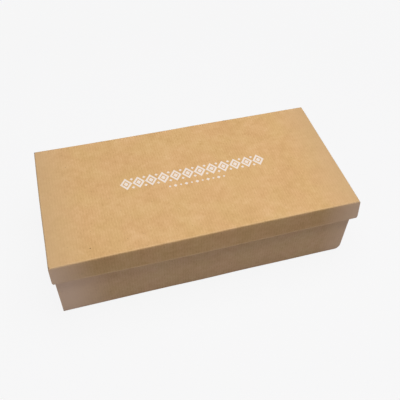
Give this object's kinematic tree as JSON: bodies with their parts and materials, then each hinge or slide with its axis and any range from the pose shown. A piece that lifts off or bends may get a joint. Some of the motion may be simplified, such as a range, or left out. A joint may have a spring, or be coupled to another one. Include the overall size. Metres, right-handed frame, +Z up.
{
  "type": "bottle shipping box",
  "caption": "Kraft corrugated gift and shipping box for wine bottles, with a lift-off lid, a folded divider and a notched rest for the bottle necks.",
  "frame": {"origin": "centre of the base tray's underside, where the box stands", "axes": "+X along the bottles towards their necks, +Y towards the back, +Z up"},
  "size_m": [0.355, 0.177, 0.096],
  "materials": {
    "kraft_board": "matte",
    "insert_board": "matte",
    "white_print": "matte"
  },
  "bodies": {
    "base": {"base_tray": "kraft_board", "bottle_divider": "insert_board", "neck_rest": "insert_board"},
    "lid": {"lid": "kraft_board"}
  },
  "joints": [
    {"name": "lid_lift", "type": "slide", "parent": "base", "child": "lid", "axis": [0, 0, 1], "range_m": [0, 0.12]}
  ]
}
